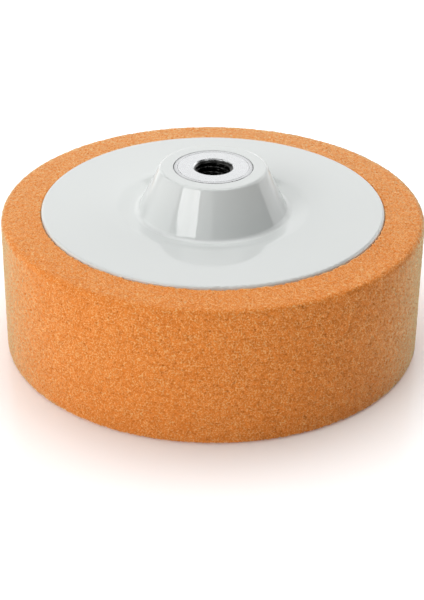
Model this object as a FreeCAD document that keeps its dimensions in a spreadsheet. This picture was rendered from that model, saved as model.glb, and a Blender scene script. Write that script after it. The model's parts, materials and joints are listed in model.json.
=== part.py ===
import FreeCAD, Part
import os
import Sketcher

# A bonded polishing pad: an open-cell foam disc, glued to a moulded backing plate whose
# conical hub holds a threaded metal bush for the spindle of a polishing machine.
#
# Millimetres. +Z is up, along the spindle. The origin is the centre of the foam's working
# face, so the pad stands on z = 0 and the spindle comes in from above.

SIZES = {
    "foam_diameter": 150.0,
    "foam_height": 50.4,
    "foam_crown": 0.6,
    "foam_top_radius": 2.0,
    "foam_face_radius": 1.0,
    "plate_diameter": 121.6,
    "plate_thickness": 3.2,
    "plate_proud": 0.6,
    "plate_edge_radius": 1.0,
    "plate_gap": 0.15,
    "film_thickness": 0.3,
    "film_inset": 1.5,
    "hub_rise": 14.9,
    "hub_top_diameter": 37.7,
    "hub_edge_radius": 1.2,
    "hub_foot_diameter": 53.6,
    "dip_diameter": 68.0,
    "dip_depth": 1.5,
    "dip_foot_radius": 1.8,
    "dip_rim_radius": 12.0,
    "core_inner_diameter": 28.0,
    "core_mouth_diameter": 48.8,
    "core_top_diameter": 38.4,
    "core_height": 11.0,
    "rib_count": 8,
    "rib_thickness": 2.0,
    "rib_overlap": 1.0,
    "bush_length": 15.0,
    "bush_head_diameter": 28.2,
    "bush_head_thickness": 3.0,
    "bush_shank_diameter": 21.0,
    "bush_flat_distance": 9.6,
    "bush_flat_height": 2.5,
    "bush_flat_base": 7.0,
    "bush_flat_count": 6,
    "bush_groove_diameter": 18.6,
    "bush_groove_width": 2.0,
    "bush_groove_base": 3.0,
    "thread_minor_diameter": 11.835,
    "thread_mouth_diameter": 14.4,
    "thread_mouth_depth": 1.2,
    "thread_runout": 0.5,
    "cut_margin": 1.0,
}

# Heights above the working face that several pieces share.
FOAM_TOP = "(sizes.foam_height + sizes.foam_crown)"
PLATE_TOP = f"({FOAM_TOP} + sizes.plate_proud)"
PLATE_UNDER = f"({PLATE_TOP} - sizes.plate_thickness)"
FILM_UNDER = f"({PLATE_UNDER} - sizes.film_thickness)"
HUB_TOP = f"({PLATE_TOP} + sizes.hub_rise)"
BUSH_UNDER = f"({HUB_TOP} - sizes.bush_length)"
FULL_TURN = 360.0

# A sketch's own axes, by their fixed places in its geometry.
HORIZONTAL_AXIS = -1
VERTICAL_AXIS = -2

# A cut that takes less than this many cubic millimetres has missed its body.
SMALLEST_CUT = 1.0

document = FreeCAD.newDocument("polishing_pad")


def make_sheet():
    """The driving dimensions, one alias each."""
    sheet = document.addObject("Spreadsheet::Sheet", "sizes")
    for row, (alias, value) in enumerate(SIZES.items(), start=1):
        sheet.set(f"A{row}", alias)
        sheet.set(f"B{row}", str(value))
        sheet.setAlias(f"B{row}", alias)
    document.recompute()
    return sheet


sheet = make_sheet()


def number(expression):
    """The value in millimetres that an expression on the sheet has now."""
    if isinstance(expression, str):
        value = sheet.evalExpression(expression.replace("sizes.", ""))
        return float(getattr(value, "Value", value))
    return float(expression)


def make_body(name):
    body = document.addObject("PartDesign::Body", name)
    body.Label = name
    return body


def origin_plane(body, role):
    for feature in body.Origin.OriginFeatures:
        if feature.Role == role:
            return feature
    raise ValueError(f"{body.Name} has no {role}")


def make_sketch(body, name, role):
    sketch = body.newObject("Sketcher::SketchObject", name)
    sketch.AttachmentSupport = [(origin_plane(body, role), "")]
    sketch.MapMode = "FlatFace"
    return sketch


def hold(sketch, kind, line, expression):
    """Ties the start of a line to a distance from the sketch's origin along X or Y."""
    value = number(expression)
    index = sketch.addConstraint(Sketcher.Constraint(kind, -1, 1, line, 1, value))
    sketch.setExpression(f"Constraints[{index}]", expression)


def outline(body, name, role, corners):
    """A closed outline of straight lines, each corner held by its distances from the two axes.

    A distance of 0 puts the corner on that axis.
    """
    sketch = make_sketch(body, name, role)
    points = [FreeCAD.Vector(number(across), number(up), 0) for across, up in corners]
    count = len(points)
    for line in range(count):
        sketch.addGeometry(Part.LineSegment(points[line], points[(line + 1) % count]), False)
    for line in range(count):
        sketch.addConstraint(Sketcher.Constraint("Coincident", line, 2, (line + 1) % count, 1))
    for line, (across, up) in enumerate(corners):
        for kind, distance, axis in (
            ("DistanceX", across, VERTICAL_AXIS),
            ("DistanceY", up, HORIZONTAL_AXIS),
        ):
            if distance == 0:
                sketch.addConstraint(Sketcher.Constraint("PointOnObject", line, 1, axis))
            else:
                hold(sketch, kind, line, distance)
    return sketch


def turned(body, kind, name, corners):
    """A Revolution or a Groove of an outline about the spindle's axis."""
    sketch = outline(body, f"{name}_outline", "XZ_Plane", corners)
    feature = body.newObject(f"PartDesign::{kind}", name)
    feature.Profile = sketch
    feature.ReferenceAxis = (sketch, ["V_Axis"])
    feature.Angle = FULL_TURN
    document.recompute()
    return feature


def circular_edge(feature, diameter, height):
    """The name of the round edge with this diameter at this height."""
    tolerance = 1e-4
    for index, edge in enumerate(feature.Shape.Edges, start=1):
        curve = edge.Curve
        if not isinstance(curve, Part.Circle):
            continue
        same_radius = abs(curve.Radius - number(diameter) / 2) < tolerance
        same_height = abs(curve.Center.z - number(height)) < tolerance
        if same_radius and same_height:
            return f"Edge{index}"
    raise ValueError(f"{feature.Name} has no edge {diameter} at {height}")


def rounded(body, base, name, diameter, height, radius):
    """A fillet of one round edge of the body."""
    fillet = body.newObject("PartDesign::Fillet", name)
    fillet.Base = (base, [circular_edge(base, diameter, height)])
    fillet.setExpression("Radius", radius)
    document.recompute()
    return fillet


def repeated(body, feature, axis, name, count):
    """A polar pattern of one feature, a full turn about an axis."""
    pattern = body.newObject("PartDesign::PolarPattern", name)
    pattern.Originals = [feature]
    pattern.Axis = axis
    pattern.Angle = FULL_TURN
    pattern.setExpression("Occurrences", count)
    body.Tip = pattern
    document.recompute()
    return pattern


def must_remove(before, after, what):
    """A pocket or groove on the wrong side removes nothing and reports no error."""
    if after.Shape.Volume >= before.Shape.Volume - SMALLEST_CUT:
        raise RuntimeError(f"{what} removed nothing")


def make_foam_pad():
    """The foam disc. Its top rises a little towards the shallow seat that holds the plate."""
    body = make_body("foam_pad")
    seat_radius = "sizes.plate_diameter / 2 + sizes.plate_gap"
    disc = turned(body, "Revolution", "foam_turning", [
        (0, 0),
        ("sizes.foam_diameter / 2", 0),
        ("sizes.foam_diameter / 2", "sizes.foam_height"),
        (seat_radius, FOAM_TOP),
        (seat_radius, FILM_UNDER),
        (0, FILM_UNDER),
    ])
    top = rounded(body, disc, "top_edge", "sizes.foam_diameter", "sizes.foam_height",
                  "sizes.foam_top_radius")
    rounded(body, top, "face_edge", "sizes.foam_diameter", 0, "sizes.foam_face_radius")
    return body


def make_adhesive_layer():
    """The film of contact adhesive, stopping short of the plate's edge."""
    film = document.addObject("Part::Cylinder", "adhesive_layer")
    film.Label = "adhesive_layer"
    film.setExpression("Radius", "sizes.plate_diameter / 2 - sizes.film_inset")
    film.setExpression("Height", "sizes.film_thickness")
    film.setExpression("Placement.Base.z", FILM_UNDER)
    return film


def make_bush_blank():
    """The bush before its bore: a head, a shank, a retaining groove and flats against turning."""
    body = make_body("bush_blank")
    head_under = f"({HUB_TOP} - sizes.bush_head_thickness)"
    turning = turned(body, "Revolution", "bush_turning", [
        (0, BUSH_UNDER),
        ("sizes.bush_shank_diameter / 2", BUSH_UNDER),
        ("sizes.bush_shank_diameter / 2", head_under),
        ("sizes.bush_head_diameter / 2", head_under),
        ("sizes.bush_head_diameter / 2", HUB_TOP),
        (0, HUB_TOP),
    ])
    groove_base = f"({BUSH_UNDER} + sizes.bush_groove_base)"
    groove = turned(body, "Groove", "retaining_groove", [
        ("sizes.bush_groove_diameter / 2", groove_base),
        ("sizes.bush_shank_diameter / 2 + sizes.cut_margin", groove_base),
        ("sizes.bush_shank_diameter / 2 + sizes.cut_margin", f"{groove_base} + sizes.bush_groove_width"),
        ("sizes.bush_groove_diameter / 2", f"{groove_base} + sizes.bush_groove_width"),
    ])
    must_remove(turning, groove, "the retaining groove")
    flat_base = f"({BUSH_UNDER} + sizes.bush_flat_base)"
    flat_outline = outline(body, "flat_outline", "XZ_Plane", [
        ("sizes.bush_flat_distance", flat_base),
        ("sizes.bush_shank_diameter / 2 + sizes.cut_margin", flat_base),
        ("sizes.bush_shank_diameter / 2 + sizes.cut_margin", f"{flat_base} + sizes.bush_flat_height"),
        ("sizes.bush_flat_distance", f"{flat_base} + sizes.bush_flat_height"),
    ])
    flat = body.newObject("PartDesign::Pocket", "flat")
    flat.Profile = flat_outline
    flat.Type = "Length"
    flat.Midplane = True
    flat.setExpression("Length", "sizes.bush_shank_diameter")
    document.recompute()
    must_remove(groove, flat, "the flat")
    repeated(body, flat, (flat_outline, ["V_Axis"]), "flats", "sizes.bush_flat_count")
    return body


def make_bore_tool():
    """The tapped bore at its minor diameter, with its mouth and its run-out chamfer."""
    body = make_body("bore_tool")
    minor = "sizes.thread_minor_diameter / 2"
    mouth = "sizes.thread_mouth_diameter / 2"
    turned(body, "Revolution", "bore_turning", [
        (0, BUSH_UNDER),
        (f"{minor} + sizes.thread_runout", BUSH_UNDER),
        (minor, f"{BUSH_UNDER} + sizes.thread_runout"),
        (minor, f"{HUB_TOP} - sizes.thread_mouth_depth"),
        (mouth, HUB_TOP),
        (0, HUB_TOP),
    ])
    return body


def make_threaded_insert(blank, bore):
    insert = document.addObject("Part::Cut", "threaded_insert")
    insert.Label = "threaded_insert"
    insert.Base = blank
    insert.Tool = bore
    return insert


def make_plate_blank():
    """The moulded plate and hub, cored out underneath around a boss that ribs hold."""
    body = make_body("plate_blank")
    dip_floor = f"({PLATE_TOP} - sizes.dip_depth)"
    shape = turned(body, "Revolution", "plate_turning", [
        (0, PLATE_UNDER),
        ("sizes.plate_diameter / 2", PLATE_UNDER),
        ("sizes.plate_diameter / 2", PLATE_TOP),
        ("sizes.dip_diameter / 2", PLATE_TOP),
        ("sizes.hub_foot_diameter / 2", dip_floor),
        ("sizes.hub_top_diameter / 2", HUB_TOP),
        (0, HUB_TOP),
    ])
    core_top = f"({PLATE_UNDER} + sizes.core_height)"
    core = turned(body, "Groove", "hub_core", [
        ("sizes.core_inner_diameter / 2", f"{PLATE_UNDER} - sizes.cut_margin"),
        ("sizes.core_mouth_diameter / 2", f"{PLATE_UNDER} - sizes.cut_margin"),
        ("sizes.core_mouth_diameter / 2", PLATE_UNDER),
        ("sizes.core_top_diameter / 2", core_top),
        ("sizes.core_inner_diameter / 2", core_top),
    ])
    must_remove(shape, core, "the hub's core")
    rib_inner = "sizes.core_inner_diameter / 2 - sizes.rib_overlap"
    rib_top = f"{core_top} + sizes.rib_overlap"
    rib_outline = outline(body, "rib_outline", "XZ_Plane", [
        (rib_inner, PLATE_UNDER),
        ("sizes.core_mouth_diameter / 2 + sizes.rib_overlap", PLATE_UNDER),
        ("sizes.core_top_diameter / 2 + sizes.rib_overlap", rib_top),
        (rib_inner, rib_top),
    ])
    rib = body.newObject("PartDesign::Pad", "rib")
    rib.Profile = rib_outline
    rib.Midplane = True
    rib.setExpression("Length", "sizes.rib_thickness")
    document.recompute()
    ribs = repeated(body, rib, (rib_outline, ["V_Axis"]), "ribs", "sizes.rib_count")
    foot = rounded(body, ribs, "hub_foot", "sizes.hub_foot_diameter", dip_floor,
                   "sizes.dip_foot_radius")
    dip = rounded(body, foot, "dip_rim", "sizes.dip_diameter", PLATE_TOP,
                  "sizes.dip_rim_radius")
    hub = rounded(body, dip, "hub_edge", "sizes.hub_top_diameter", HUB_TOP,
                  "sizes.hub_edge_radius")
    rounded(body, hub, "plate_edge", "sizes.plate_diameter", PLATE_TOP,
            "sizes.plate_edge_radius")
    return body


def make_backing_plate(blank, bush):
    """The plate is moulded round the bush, so the bush's outer shape is cut from it."""
    plate = document.addObject("Part::Cut", "backing_plate")
    plate.Label = "backing_plate"
    plate.Base = blank
    plate.Tool = bush
    return plate


def check_document():
    for item in document.Objects:
        if "Invalid" in item.State or "Error" in item.State:
            raise RuntimeError(f"{item.Name} failed: {item.State}")


def write_pieces(pieces):
    os.makedirs("parts", exist_ok=True)
    for piece in pieces:
        if piece.Shape.isNull() or not piece.Shape.isValid():
            raise RuntimeError(f"{piece.Label} has no valid shape")
        box = piece.Shape.optimalBoundingBox()
        print(f"{piece.Label}: {len(piece.Shape.Solids)} solid, {piece.Shape.Volume:.0f} mm3,"
              f" z {box.ZMin:.2f} to {box.ZMax:.2f}, {box.XLength:.2f} across")
    for piece in pieces:
        piece.Shape.exportStep(f"parts/{piece.Label}.step")


bush_blank = make_bush_blank()
pieces = [
    make_foam_pad(),
    make_adhesive_layer(),
    make_backing_plate(make_plate_blank(), bush_blank),
    make_threaded_insert(bush_blank, make_bore_tool()),
]
document.recompute()
check_document()
write_pieces(pieces)
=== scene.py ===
"""The looks of a bonded foam polishing pad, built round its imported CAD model. Metres, +Z up."""

import json
import math

import bpy
import numpy as np
from mathutils import Matrix, Vector


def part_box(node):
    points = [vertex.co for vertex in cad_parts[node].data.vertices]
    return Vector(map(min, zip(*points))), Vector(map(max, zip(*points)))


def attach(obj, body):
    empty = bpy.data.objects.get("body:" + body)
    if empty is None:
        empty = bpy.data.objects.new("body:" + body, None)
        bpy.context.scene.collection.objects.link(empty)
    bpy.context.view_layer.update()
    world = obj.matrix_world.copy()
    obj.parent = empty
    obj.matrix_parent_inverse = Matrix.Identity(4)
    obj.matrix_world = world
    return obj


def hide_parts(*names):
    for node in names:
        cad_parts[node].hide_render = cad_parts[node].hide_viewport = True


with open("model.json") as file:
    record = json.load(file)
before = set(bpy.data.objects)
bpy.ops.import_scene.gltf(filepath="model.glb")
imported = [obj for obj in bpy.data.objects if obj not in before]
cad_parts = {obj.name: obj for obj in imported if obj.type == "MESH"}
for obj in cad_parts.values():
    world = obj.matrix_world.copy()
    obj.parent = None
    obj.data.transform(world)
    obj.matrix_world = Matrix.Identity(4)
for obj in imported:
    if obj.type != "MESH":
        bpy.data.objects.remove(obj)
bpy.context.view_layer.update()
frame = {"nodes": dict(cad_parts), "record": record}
scene = bpy.context.scene

MM = 0.001
FULL_TURN = 2 * math.pi


# ---------------------------------------------------------------- sizes, from the CAD model

foam_low, foam_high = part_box("foam_pad")
film_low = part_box("adhesive_layer")[0]
plate_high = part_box("backing_plate")[1]
insert_low, insert_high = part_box("threaded_insert")
mounts = {mount["name"]: mount for mount in frame["record"]["mounts"]}

FOAM_RADIUS = foam_high.x
FOAM_TOP = foam_high.z
FOAM_CROWN = 0.6 * MM
FOAM_TOP_ROUND = 2.0 * MM
FOAM_FACE_ROUND = 1.0 * MM
SEAT_GAP = 0.15 * MM
SEAT_RADIUS = plate_high.x + SEAT_GAP
SEAT_FLOOR = film_low.z

THREAD_MINOR = mounts["spindle_thread"]["dims"]["r_mm"] * MM
THREAD_MAJOR = 7.0 * MM
THREAD_PITCH = 2.0 * MM
THREAD_CREST = THREAD_PITCH / 4
FLANK_ANGLE = math.radians(60)
MOUTH_RADIUS = 7.2 * MM
MOUTH_DEPTH = 1.2 * MM


# ---------------------------------------------------------------- node helpers

class Nodes:
    """A material's node tree, with a short way to add and join nodes."""

    def __init__(self, name):
        self.material = bpy.data.materials.new(name)
        self.material.use_nodes = True
        self.tree = self.material.node_tree
        self.shader = self.tree.nodes["Principled BSDF"]

    def add(self, kind, **settings):
        node = self.tree.nodes.new(f"ShaderNode{kind}")
        for name, value in settings.items():
            setattr(node, name, value)
        return node

    def join(self, source, target):
        self.tree.links.new(source, target)

    def coordinates(self):
        """The object's own coordinates, in metres."""
        return self.add("TexCoord").outputs["Object"]

    def noise(self, size, detail=2.0, roughness=0.5):
        """A noise whose largest lumps are about size across, in metres."""
        node = self.add("TexNoise")
        node.inputs["Scale"].default_value = 1 / size
        node.inputs["Detail"].default_value = detail
        node.inputs["Roughness"].default_value = roughness
        self.join(self.coordinates(), node.inputs["Vector"])
        return node.outputs["Fac"]

    def cells(self, size, feature="F1"):
        """Cells about size across: the distance to their middle, or to their edge."""
        node = self.add("TexVoronoi", feature=feature)
        node.inputs["Scale"].default_value = 1 / size
        self.join(self.coordinates(), node.inputs["Vector"])
        return node.outputs["Distance"]

    def from_axis(self):
        """The distance from the spindle's axis, in metres."""
        apart = self.add("SeparateXYZ")
        self.join(self.coordinates(), apart.inputs["Vector"])
        across = self.math("MULTIPLY", apart.outputs["X"], apart.outputs["X"])
        along = self.math("MULTIPLY", apart.outputs["Y"], apart.outputs["Y"])
        return self.math("SQRT", self.math("ADD", across, along), 0.0)

    def spread(self, value, low, high, from_low=0.0, from_high=1.0):
        """Maps a value's range from_low to from_high onto low to high."""
        node = self.add("MapRange")
        node.inputs["From Min"].default_value = from_low
        node.inputs["From Max"].default_value = from_high
        node.inputs["To Min"].default_value = low
        node.inputs["To Max"].default_value = high
        self.join(value, node.inputs["Value"])
        return node.outputs["Result"]

    def math(self, operation, first, second):
        node = self.add("Math", operation=operation)
        for socket, value in zip(node.inputs, (first, second)):
            if isinstance(value, (int, float)):
                socket.default_value = value
            else:
                self.join(value, socket)
        return node.outputs["Value"]

    def blend(self, factor, first, second):
        """A colour from first, at factor 0, to second, at factor 1."""
        node = self.add("Mix", data_type="RGBA")
        self.join(factor, node.inputs["Factor"])
        colours = [socket for socket in node.inputs if socket.type == "RGBA"]
        for socket, value in zip(colours, (first, second)):
            if isinstance(value, tuple):
                socket.default_value = (*value, 1.0)
            else:
                self.join(value, socket)
        return [socket for socket in node.outputs if socket.type == "RGBA"][0]

    def bump(self, height, distance, strength=1.0, under=None):
        node = self.add("Bump")
        node.inputs["Distance"].default_value = distance
        node.inputs["Strength"].default_value = strength
        self.join(height, node.inputs["Height"])
        if under is not None:
            self.join(under, node.inputs["Normal"])
        return node.outputs["Normal"]

    def attribute(self, name):
        node = self.add("Attribute", attribute_name=name)
        return node.outputs["Fac"]

    def set(self, **values):
        """Sets the shader's own sockets: Base_Color=(r, g, b) and so on."""
        for name, value in values.items():
            socket = self.shader.inputs[name.replace("_", " ")]
            socket.default_value = (*value, 1.0) if isinstance(value, tuple) else value

    def feed(self, **sources):
        for name, source in sources.items():
            self.join(source, self.shader.inputs[name.replace("_", " ")])


# ---------------------------------------------------------------- materials

def foam_material():
    """Orange open-cell foam: bright struts round deep orange pores, with a dry sheen. The struts'
    brightness is a painted highlight and the pores' darkness painted shade.

    The shade runs from 0, a bright strut with its painted highlight, to about 1, the painted
    shade at the bottom of a pore.
    """
    nodes = Nodes("orange_foam")
    fine_cells = nodes.cells(0.8 * MM, "DISTANCE_TO_EDGE")
    grain = nodes.noise(0.55 * MM, detail=1.0)
    # Painted shade: pore depth and distance from the cell edges darken the colour. Random specks
    # brighten it as painted glints or darken it as painted shade. The large patches are the
    # foam's own tone.
    pit = nodes.spread(nodes.attribute("pit"), 0.0, 0.4)
    pore_centre_shade = nodes.spread(fine_cells, 0.0, 0.34, from_low=0.02, from_high=0.18)
    specks = nodes.spread(grain, -0.14, 0.36, from_low=0.35, from_high=0.72)
    patches = nodes.spread(nodes.noise(9 * MM, detail=3.0), -0.08, 0.08)
    shade = nodes.math("ADD", nodes.math("ADD", pit, pore_centre_shade), nodes.math("ADD", specks, patches))
    # The bright strut colour is a painted highlight and the dark pore colour painted shade; the
    # middle colour is the foam's own orange.
    strut_highlight = (1.0, 0.53, 0.2)
    body = (0.89, 0.262, 0.038)
    pore_shade = (0.6, 0.13, 0.014)
    past_strut_highlight = nodes.spread(shade, 0.0, 1.0, from_low=0.0, from_high=0.28)
    into_pore_shade = nodes.spread(shade, 0.0, 1.0, from_low=0.5, from_high=1.05)
    body_and_highlight = nodes.blend(past_strut_highlight, strut_highlight, body)
    nodes.feed(Base_Color=nodes.blend(into_pore_shade, body_and_highlight, pore_shade))
    glancing = nodes.add("LayerWeight")
    glancing.inputs["Blend"].default_value = 0.35
    sheen = nodes.spread(glancing.outputs["Facing"], 0.0, 1.0, from_low=0.15, from_high=0.6)
    nodes.feed(Sheen_Weight=sheen)
    cell_bump = nodes.bump(nodes.cells(0.5 * MM), distance=0.12 * MM, strength=0.6)
    fibres = nodes.noise(0.25 * MM)
    nodes.feed(Normal=nodes.bump(fibres, distance=0.05 * MM, strength=0.5, under=cell_bump))
    nodes.set(Roughness=0.8, Specular_IOR_Level=0.2, Sheen_Roughness=0.45,
              Sheen_Tint=(0.95, 1.0, 0.66))
    return nodes.material


def plate_material():
    """Glossy light grey moulded plastic, with faint flow and fine handling marks."""
    nodes = Nodes("grey_gloss_plastic")
    flow = nodes.noise(30 * MM)
    darker, lighter = (0.72, 0.747, 0.735), (0.74, 0.762, 0.75)
    nodes.feed(Base_Color=nodes.blend(flow, darker, lighter))
    scuffs = nodes.noise(1.2 * MM, detail=4.0, roughness=0.6)
    nodes.feed(Roughness=nodes.spread(scuffs, 0.03, 0.07, from_low=0.35, from_high=0.7))
    peel = nodes.noise(2.2 * MM, detail=1.0)
    nodes.feed(Normal=nodes.bump(peel, distance=0.012 * MM, strength=0.4))
    nodes.set(IOR=1.56)
    return nodes.material


def insert_material():
    """Turned, zinc-plated steel: concentric tool marks on the face; painted shade darkens the
    thread inside the bore, the gap round the head and the ring groove on the face.
    """
    nodes = Nodes("turned_steel")
    feed_per_turn = 0.7 * MM
    turns = nodes.math("MULTIPLY", nodes.from_axis(), FULL_TURN / feed_per_turn)
    rings = nodes.math("SINE", turns, 0.0)
    stain = nodes.noise(3 * MM, detail=3.0)
    chatter = nodes.spread(nodes.noise(1.5 * MM, detail=3.0), -0.8, 0.8)
    marks = nodes.math("ADD", rings, chatter)
    wear = nodes.math("ADD", nodes.spread(rings, -0.25, 0.25, from_low=-1.0), stain)
    worn, bright, painted_shade_colour = (0.60, 0.61, 0.62), (0.78, 0.79, 0.80), (0.06, 0.06, 0.058)
    unshaded_metal = nodes.blend(wear, worn, bright)
    # Painted shade: a near-black colour laid on the bore, the gap round the head and the ring
    # groove.
    nodes.feed(Base_Color=nodes.blend(nodes.attribute("painted_shade"), unshaded_metal, painted_shade_colour))
    nodes.feed(Roughness=nodes.spread(stain, 0.2, 0.34))
    nodes.feed(Normal=nodes.bump(marks, distance=0.006 * MM, strength=0.5))
    nodes.set(Metallic=1.0)
    return nodes.material


def adhesive_material():
    """Cured amber contact adhesive."""
    nodes = Nodes("amber_adhesive")
    strings = nodes.noise(2.5 * MM, detail=3.0)
    thick, thin = (0.62, 0.42, 0.16), (0.74, 0.56, 0.28)
    nodes.feed(Base_Color=nodes.blend(strings, thick, thin))
    nodes.feed(Roughness=nodes.spread(strings, 0.35, 0.6))
    nodes.feed(Normal=nodes.bump(strings, distance=0.1 * MM, strength=0.5))
    return nodes.material


def floor_material():
    """A smooth white floor that glows though it is no lamp, its glow dimmed near the pad as a
    painted shadow.
    """
    nodes = Nodes("white_table")
    clouds = nodes.noise(40 * MM)
    duller, whiter = (0.93, 0.93, 0.93), (0.95, 0.95, 0.95)
    nodes.feed(Base_Color=nodes.blend(clouds, duller, whiter))
    # Painted light and shadow: the floor's glow is weakest at the pad's rim and grows further
    # out.
    near, far = FOAM_RADIUS, 1.6 * FOAM_RADIUS
    glow_with_painted_shadow = nodes.spread(nodes.from_axis(), 0.1, 0.42, from_low=near, from_high=far)
    nodes.feed(Emission_Strength=glow_with_painted_shadow)
    nodes.set(Roughness=0.18, Emission_Color=(1.0, 1.0, 1.0))
    return nodes.material


# ---------------------------------------------------------------- foam

CELL_PITCH = 1.22 * MM
FACE_PITCH = 1.6 * MM
SEAT_PITCH = 4.0 * MM
RING_RATIO = math.sqrt(3) / 2

# Shares of the pitch: how far a seed strays, how deep a pore goes, how far a strut sinks.
STRAY_ROUND = 0.3
STRAY_ALONG = 0.26
PORE_DEPTHS = (0.2, 0.6)
STRUT_SINK = 0.14

OUTLINE_STEP = 0.02 * MM
LAYOUT_GAP = 2.0 * MM
FOAM_SEED = 14

# A face leaning less than 45 degrees from upright belongs to the foam's side.
SIDE_TILT = math.sqrt(0.5)


class Outline:
    """A turned outline as closely spaced (radius, height, outward normal) samples."""

    def __init__(self):
        self.points = []
        self.normals = []

    def straight(self, start, end):
        start = np.array(start)
        end = np.array(end)
        length = np.linalg.norm(end - start)
        direction = (end - start) / length
        count = max(1, round(length / OUTLINE_STEP))
        share = (np.arange(count) + 0.5) / count
        self.points.append(start + np.outer(share, end - start))
        self.normals.append(np.tile((direction[1], -direction[0]), (count, 1)))

    def arc(self, centre, radius, start, end):
        count = max(1, round(abs(end - start) * radius / OUTLINE_STEP))
        angle = start + (np.arange(count) + 0.5) / count * (end - start)
        normal = np.stack((np.cos(angle), np.sin(angle)), axis=1)
        self.points.append(np.array(centre) + radius * normal)
        self.normals.append(normal)

    def close(self):
        self.points = np.concatenate(self.points)
        self.normals = np.concatenate(self.normals)


def foam_outline():
    """From the middle of the working face, up the side and over the top, to the seat's middle."""
    quarter = math.pi / 2
    face, top = FOAM_FACE_ROUND, FOAM_TOP_ROUND
    shoulder = FOAM_TOP - FOAM_CROWN
    slope = math.atan2(FOAM_CROWN, FOAM_RADIUS - SEAT_RADIUS)
    top_centre = (FOAM_RADIUS - top, shoulder - top * (1 - math.sin(slope)) / math.cos(slope))
    slope_end = (top_centre[0] + top * math.sin(slope), top_centre[1] + top * math.cos(slope))
    outline = Outline()
    outline.straight((0, 0), (FOAM_RADIUS - face, 0))
    outline.arc((FOAM_RADIUS - face, face), face, -quarter, 0)
    outline.straight((FOAM_RADIUS, face), (FOAM_RADIUS, top_centre[1]))
    outline.arc(top_centre, top, 0, quarter - slope)
    outline.straight(slope_end, (SEAT_RADIUS, FOAM_TOP))
    outline.straight((SEAT_RADIUS, FOAM_TOP), (SEAT_RADIUS, SEAT_FLOOR))
    outline.straight((SEAT_RADIUS, SEAT_FLOOR), (0, SEAT_FLOOR))
    outline.close()
    return outline


def pitch_at(point):
    """The cell pitch wanted at a point of the outline."""
    radius, height = point
    if radius < SEAT_RADIUS - CELL_PITCH and height > FOAM_TOP / 2:
        return SEAT_PITCH
    if height < FOAM_FACE_ROUND and radius < FOAM_RADIUS - FOAM_FACE_ROUND:
        return FACE_PITCH
    return CELL_PITCH


def seed_rings(outline, rng):
    """Jittered seed points in rings round the axis: one array of (x, y, z, nx, ny, nz) a ring."""
    rings = []
    index = 0
    last = len(outline.points) - 1
    while index < last:
        radius = outline.points[index][0]
        pitch = pitch_at(outline.points[index])
        count = max(3, round(FULL_TURN * radius / pitch))
        turn = (np.arange(count) + rng.uniform(-STRAY_ROUND, STRAY_ROUND, count)) / count
        angle = np.sort((turn + rng.uniform()) * FULL_TURN)
        slip = rng.uniform(-STRAY_ALONG, STRAY_ALONG, count) * pitch / OUTLINE_STEP
        places = np.clip(np.round(index + slip).astype(int), 0, last)
        point = outline.points[places]
        normal = outline.normals[places]
        cosine, sine = np.cos(angle), np.sin(angle)
        ring = np.stack((point[:, 0] * cosine, point[:, 0] * sine, point[:, 1],
                         normal[:, 0] * cosine, normal[:, 0] * sine, normal[:, 1]), axis=1)
        rings.append((angle, ring))
        index += round(pitch * RING_RATIO / OUTLINE_STEP)
    return rings


def zip_rings(first_angles, second_angles, first_start, second_start):
    """Triangles between two rings, always stepping on the side whose next seed comes first."""
    triangles = []
    first_count, second_count = len(first_angles), len(second_angles)
    offset = np.argmin(np.abs(np.angle(np.exp(1j * (second_angles - first_angles[0])))))
    first_turn = np.concatenate((first_angles, first_angles[:1] + FULL_TURN)) - first_angles[0]
    rolled = np.roll(second_angles, -offset)
    lead = np.angle(np.exp(1j * (rolled[0] - first_angles[0])))
    second_turn = lead + np.mod(rolled - rolled[0], FULL_TURN)
    second_turn = np.append(second_turn, second_turn[0] + FULL_TURN)
    i = j = 0
    while i < first_count or j < second_count:
        here = first_start + i % first_count
        there = second_start + (j + offset) % second_count
        if j == second_count or (i < first_count and first_turn[i + 1] <= second_turn[j + 1]):
            i += 1
            triangles.append((here, first_start + i % first_count, there))
        else:
            j += 1
            triangles.append((here, second_start + (j + offset) % second_count, there))
    return triangles


def seed_mesh(rings):
    """All the seeds in one array, closed at both ends of the axis, and their triangles."""
    starts = np.cumsum([0] + [len(angle) for angle, _ in rings])
    seeds = np.concatenate([ring for _, ring in rings])
    triangles = []
    for place in range(len(rings) - 1):
        triangles += zip_rings(rings[place][0], rings[place + 1][0],
                               starts[place], starts[place + 1])
    first, last = len(rings[0][0]), len(rings[-1][0])
    triangles += [(0, k + 1, k) for k in range(1, first - 1)]
    end = starts[-2]
    triangles += [(end, end + k, end + k + 1) for k in range(1, last - 1)]
    return seeds, np.array(triangles)


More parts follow.
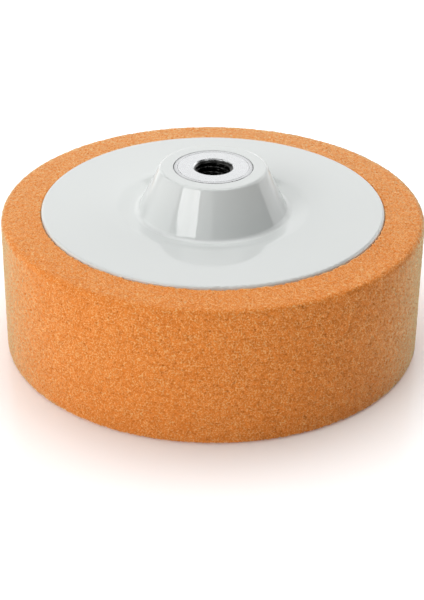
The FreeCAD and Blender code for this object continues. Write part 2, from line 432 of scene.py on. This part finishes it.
def lay_out_foam(mesh, seed_tilt, faces):
    """A flat layout for baked textures: two discs side by side, and the side as two strips."""
    spots = np.empty(len(mesh.vertices) * 3)
    mesh.vertices.foreach_get("co", spots)
    corners = spots.reshape(-1, 3)[faces]
    x, y, z = corners[..., 0], corners[..., 1], corners[..., 2]
    middle = corners.mean(axis=1)
    tilt = seed_tilt[faces[:, 0]]
    outer = np.hypot(middle[:, 0], middle[:, 1]) > (SEAT_RADIUS + FOAM_RADIUS) / 2
    side = outer & (np.abs(tilt) < SIDE_TILT)
    disc = 2 * FOAM_RADIUS + LAYOUT_GAP
    disc_across = x + FOAM_RADIUS + disc * (tilt < 0)[:, None]
    turn = np.mod(np.arctan2(middle[:, 1], middle[:, 0]), FULL_TURN)
    row = turn >= math.pi
    swing = np.angle(np.exp(1j * (np.arctan2(y, x) - turn[:, None])))
    strip_across = (turn - math.pi * row)[:, None] * FOAM_RADIUS + swing * FOAM_RADIUS
    strip_up = FOAM_RADIUS + LAYOUT_GAP + z + (row * (FOAM_TOP + LAYOUT_GAP))[:, None]
    across = np.where(side[:, None], strip_across, disc_across)
    up = np.where(side[:, None], strip_up, y) + FOAM_RADIUS
    size = 2 * disc + 2 * LAYOUT_GAP
    flat = np.stack((across, up), axis=-1) / size + LAYOUT_GAP / size
    layer = mesh.uv_layers.new(name="OFBake")
    layer.data.foreach_set("uv", flat.ravel())


def build_foam():
    """Every seed becomes the bottom of a pore and every seed triangle a node of its struts."""
    rng = np.random.default_rng(FOAM_SEED)
    rings = seed_rings(foam_outline(), rng)
    seeds, triangles = seed_mesh(rings)
    places, normals = seeds[:, :3], seeds[:, 3:]
    deepest = PORE_DEPTHS[1] * CELL_PITCH
    depth = rng.uniform(*PORE_DEPTHS, len(seeds)) * CELL_PITCH
    under_plate = np.hypot(places[:, 0], places[:, 1]) < SEAT_RADIUS + OUTLINE_STEP
    hidden = under_plate & (places[:, 2] > SEAT_FLOOR - OUTLINE_STEP)
    depth[hidden] = 0.0
    pits = places - normals * depth[:, None]
    nodes = places[triangles].mean(axis=1)
    facing = normals[triangles].mean(axis=1)
    facing /= np.linalg.norm(facing, axis=1)[:, None]
    sunk = rng.uniform(0.0, STRUT_SINK, len(triangles)) * CELL_PITCH
    sunk[hidden[triangles].any(axis=1)] = 0.0
    struts = nodes - facing * sunk[:, None]

    sides = {}
    for index, (a, b, c) in enumerate(triangles.tolist()):
        sides[a, b] = index
        sides[b, c] = index
        sides[c, a] = index
    count = len(seeds)
    faces = []
    for (a, b), left in sides.items():
        right = sides[b, a]
        faces.append((a, count + right, count + left))
    mesh = bpy.data.meshes.new("foam_pad_cells")
    mesh.from_pydata(np.concatenate((pits, struts)).tolist(), [], faces)
    # The pore depth, kept so the foam material can paint shade into the pores.
    pit = mesh.attributes.new("pit", "FLOAT", "POINT")
    pit.data.foreach_set("value", np.concatenate((depth / deepest, np.zeros(len(struts)))))
    mesh.polygons.foreach_set("use_smooth", [True] * len(faces))
    lay_out_foam(mesh, normals[:, 2], np.array(faces))
    mesh.update()
    return mesh


def link(name, mesh, material):
    piece = bpy.data.objects.new(name, mesh)
    piece.data.materials.append(material)
    scene.collection.objects.link(piece)
    return piece


def make_foam():
    foam = link("foam_pad_cells", build_foam(), foam_material())
    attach(foam, "root")
    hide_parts("foam_pad")


# ---------------------------------------------------------------- threaded bush

INSERT_SEGMENTS = 160
THREAD_ROWS_PER_TURN = 16
HEAD_THICKNESS = 3.0 * MM
HEAD_CHAMFER = 0.35 * MM
RING_RADIUS = 12.6 * MM
RING_DEPTH = 0.1 * MM
# Painted shade on the steel: the bore takes it fully from this depth below the top, and the
# head's side takes it fully. The head's chamfer and the face's ring groove take it in part.
SHADE_FROM_DEPTH = 0.5 * MM
UNSHADED, RIM_SHADE, RING_SHADE, FULL_SHADE = 0.0, 0.3, 0.7, 1.0
SMOOTH_BELOW = math.radians(35)
SHANK_RADIUS = 10.5 * MM
GROOVE_RADIUS = 9.3 * MM
GROOVE_SPAN = (3.0 * MM, 5.0 * MM)
FLAT_DISTANCE = 9.6 * MM
FLAT_SPAN = (7.0 * MM, 9.5 * MM)
FLAT_COUNT = 6


def bore_radius(height, angle):
    """The thread's wall, opened by the cone of its mouth."""
    turn = height / THREAD_PITCH - angle / FULL_TURN
    from_crest = np.abs(turn - np.floor(turn) - 0.5) * THREAD_PITCH
    wall = THREAD_MINOR + math.tan(FLANK_ANGLE) * np.maximum(0, from_crest - THREAD_CREST / 2)
    mouth = MOUTH_RADIUS - (insert_high.z - height) * (MOUTH_RADIUS - THREAD_MINOR) / MOUTH_DEPTH
    return np.maximum(np.minimum(wall, THREAD_MAJOR), mouth)


def shank_rows(angle):
    """The shank's rows from its bottom to the head: a groove, and flats against turning."""
    bottom, head = insert_low.z, insert_high.z - HEAD_THICKNESS
    side = FULL_TURN / FLAT_COUNT
    from_middle = np.mod(angle + side / 2, side) - side / 2
    round_part = np.full_like(angle, SHANK_RADIUS)
    flat_part = np.minimum(round_part, FLAT_DISTANCE / np.cos(from_middle))
    groove_part = np.full_like(angle, GROOVE_RADIUS)
    rows = [(round_part, bottom)]
    for cut, (low, high) in ((groove_part, GROOVE_SPAN), (flat_part, FLAT_SPAN)):
        rows += [(round_part, bottom + low), (cut, bottom + low)]
        rows += [(cut, bottom + high), (round_part, bottom + high)]
    rows.append((round_part, head))
    return rows


def build_insert():
    """A grid of rows round the section, closed on itself through the bore."""
    angle = np.arange(INSERT_SEGMENTS) / INSERT_SEGMENTS * FULL_TURN
    top, head_radius = insert_high.z, insert_high.x
    rows = shank_rows(angle)
    painted_shade = [UNSHADED] * len(rows)
    # The head's side and chamfer carry painted shade for the gap round the head, and the ring
    # groove carries painted shade in its crease.
    for radius, height, shade_amount in (
        (head_radius, top - HEAD_THICKNESS, FULL_SHADE),
        (head_radius, top - HEAD_CHAMFER, FULL_SHADE),
        (head_radius - HEAD_CHAMFER, top, RIM_SHADE),
        (RING_RADIUS + RING_DEPTH, top, UNSHADED),
        (RING_RADIUS, top - RING_DEPTH, RING_SHADE),
        (RING_RADIUS - RING_DEPTH, top, UNSHADED),
    ):
        rows.append((np.full_like(angle, radius), height))
        painted_shade.append(shade_amount)
    step = THREAD_PITCH / THREAD_ROWS_PER_TURN
    heights = np.arange(top, insert_low.z - step / 2, -step)
    # Bore rows below the mouth carry full painted shade.
    painted_shade += [FULL_SHADE if top - height > SHADE_FROM_DEPTH else UNSHADED for height in heights]
    rows += [(bore_radius(height, angle), height) for height in heights]
    vertices = [(radius * math.cos(a), radius * math.sin(a), height)
                for radii, height in rows for radius, a in zip(radii, angle)]
    faces = []
    for row in range(len(rows)):
        above = (row + 1) % len(rows)
        for place in range(INSERT_SEGMENTS):
            beside = (place + 1) % INSERT_SEGMENTS
            faces.append((row * INSERT_SEGMENTS + place, row * INSERT_SEGMENTS + beside,
                          above * INSERT_SEGMENTS + beside, above * INSERT_SEGMENTS + place))
    mesh = bpy.data.meshes.new("threaded_insert_turned")
    mesh.from_pydata(vertices, [], faces)
    shade_attribute = mesh.attributes.new("painted_shade", "FLOAT", "POINT")
    shade_attribute.data.foreach_set("value", np.repeat(painted_shade, INSERT_SEGMENTS))
    mesh.polygons.foreach_set("use_smooth", [True] * len(faces))
    mesh.set_sharp_from_angle(angle=SMOOTH_BELOW)
    mesh.update()
    return mesh


def make_insert():
    insert = link("threaded_insert_turned", build_insert(), insert_material())
    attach(insert, "root")
    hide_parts("threaded_insert")


# ---------------------------------------------------------------- CAD pieces that stay

def finish_node(name, material):
    piece = frame["nodes"][name]
    piece.data.materials.clear()
    piece.data.materials.append(material)


# ---------------------------------------------------------------- studio

TABLE_REACH = 4.0
TABLE_GAP = 0.1 * MM


def make_floor():
    """A wide table just under the pad."""
    mesh = bpy.data.meshes.new("table")
    signs = ((-1, -1), (1, -1), (1, 1), (-1, 1))
    corners = [(TABLE_REACH * x, TABLE_REACH * y, 0) for x, y in signs]
    mesh.from_pydata(corners, [], [(0, 1, 2, 3)])
    floor = link("table", mesh, floor_material())
    floor.location.z = foam_low.z - TABLE_GAP


def make_softbox(name, target, place, width, height, watts):
    """A rectangular area light that faces the target."""
    light = bpy.data.lights.new(name, "AREA")
    light.shape = "RECTANGLE"
    light.size = width
    light.size_y = height
    light.energy = watts
    lamp = bpy.data.objects.new(name, light)
    scene.collection.objects.link(lamp)
    lamp.location = place
    aim = Vector(target) - Vector(place)
    lamp.rotation_euler = aim.to_track_quat("-Z", "Y").to_euler()


SURROUNDINGS = 0.03


def make_world():
    """Dim white surroundings: the softboxes give nearly all the light."""
    world = bpy.data.worlds.new("studio")
    scene.world = world
    world.use_nodes = True
    background = world.node_tree.nodes["Background"]
    background.inputs["Color"].default_value = (1.0, 1.0, 1.0, 1.0)
    background.inputs["Strength"].default_value = SURROUNDINGS


# Where each softbox stands, its size in metres and its power.
SOFTBOXES = {
    "overhead": {"place": (0.0, 0.15, 1.0), "width": 1.0, "height": 0.75, "watts": 6.0},
    "back_wall": {"place": (0.0, 1.6, 0.6), "width": 3.0, "height": 1.2, "watts": 13.5},
    "left_wall": {"place": (-1.4, 0.2, 0.6), "width": 1.6, "height": 1.2, "watts": 6.6},
    "right_wall": {"place": (1.3, 0.75, 0.5), "width": 1.0, "height": 1.0, "watts": 4.6},
    "front_left": {"place": (-1.0, -1.0, 0.84), "width": 1.0, "height": 0.55, "watts": 8.6},
    "front": {"place": (-0.5, -1.45, 0.7), "width": 1.0, "height": 0.8, "watts": 2.0},
}


def make_lights():
    for name, box in SOFTBOXES.items():
        make_softbox(name, (0.0, 0.0, FOAM_TOP), **box)


CAMERA_PLACE = (0.0, -0.5192, 0.3028)
CAMERA_DOWN = math.radians(29.17)
CAMERA_ROLL = math.radians(0.58)
LENS = 97.3
SENSOR_WIDTH = 36.0


def make_camera():
    """A long lens about 60 cm from the pad, looking down on it, with a very slight roll."""
    data = bpy.data.cameras.new("camera")
    data.lens = LENS
    data.sensor_width = SENSOR_WIDTH
    camera = bpy.data.objects.new("camera", data)
    scene.collection.objects.link(camera)
    tilt = Matrix.Rotation(math.pi / 2 - CAMERA_DOWN, 4, "X")
    roll = Matrix.Rotation(CAMERA_ROLL, 4, "Z")
    camera.matrix_world = Matrix.Translation(CAMERA_PLACE) @ tilt @ roll
    scene.camera = camera


make_foam()
make_insert()
finish_node("backing_plate", plate_material())
finish_node("adhesive_layer", adhesive_material())
make_floor()
make_world()
make_lights()
make_camera()
scene.view_settings.view_transform = "Standard"
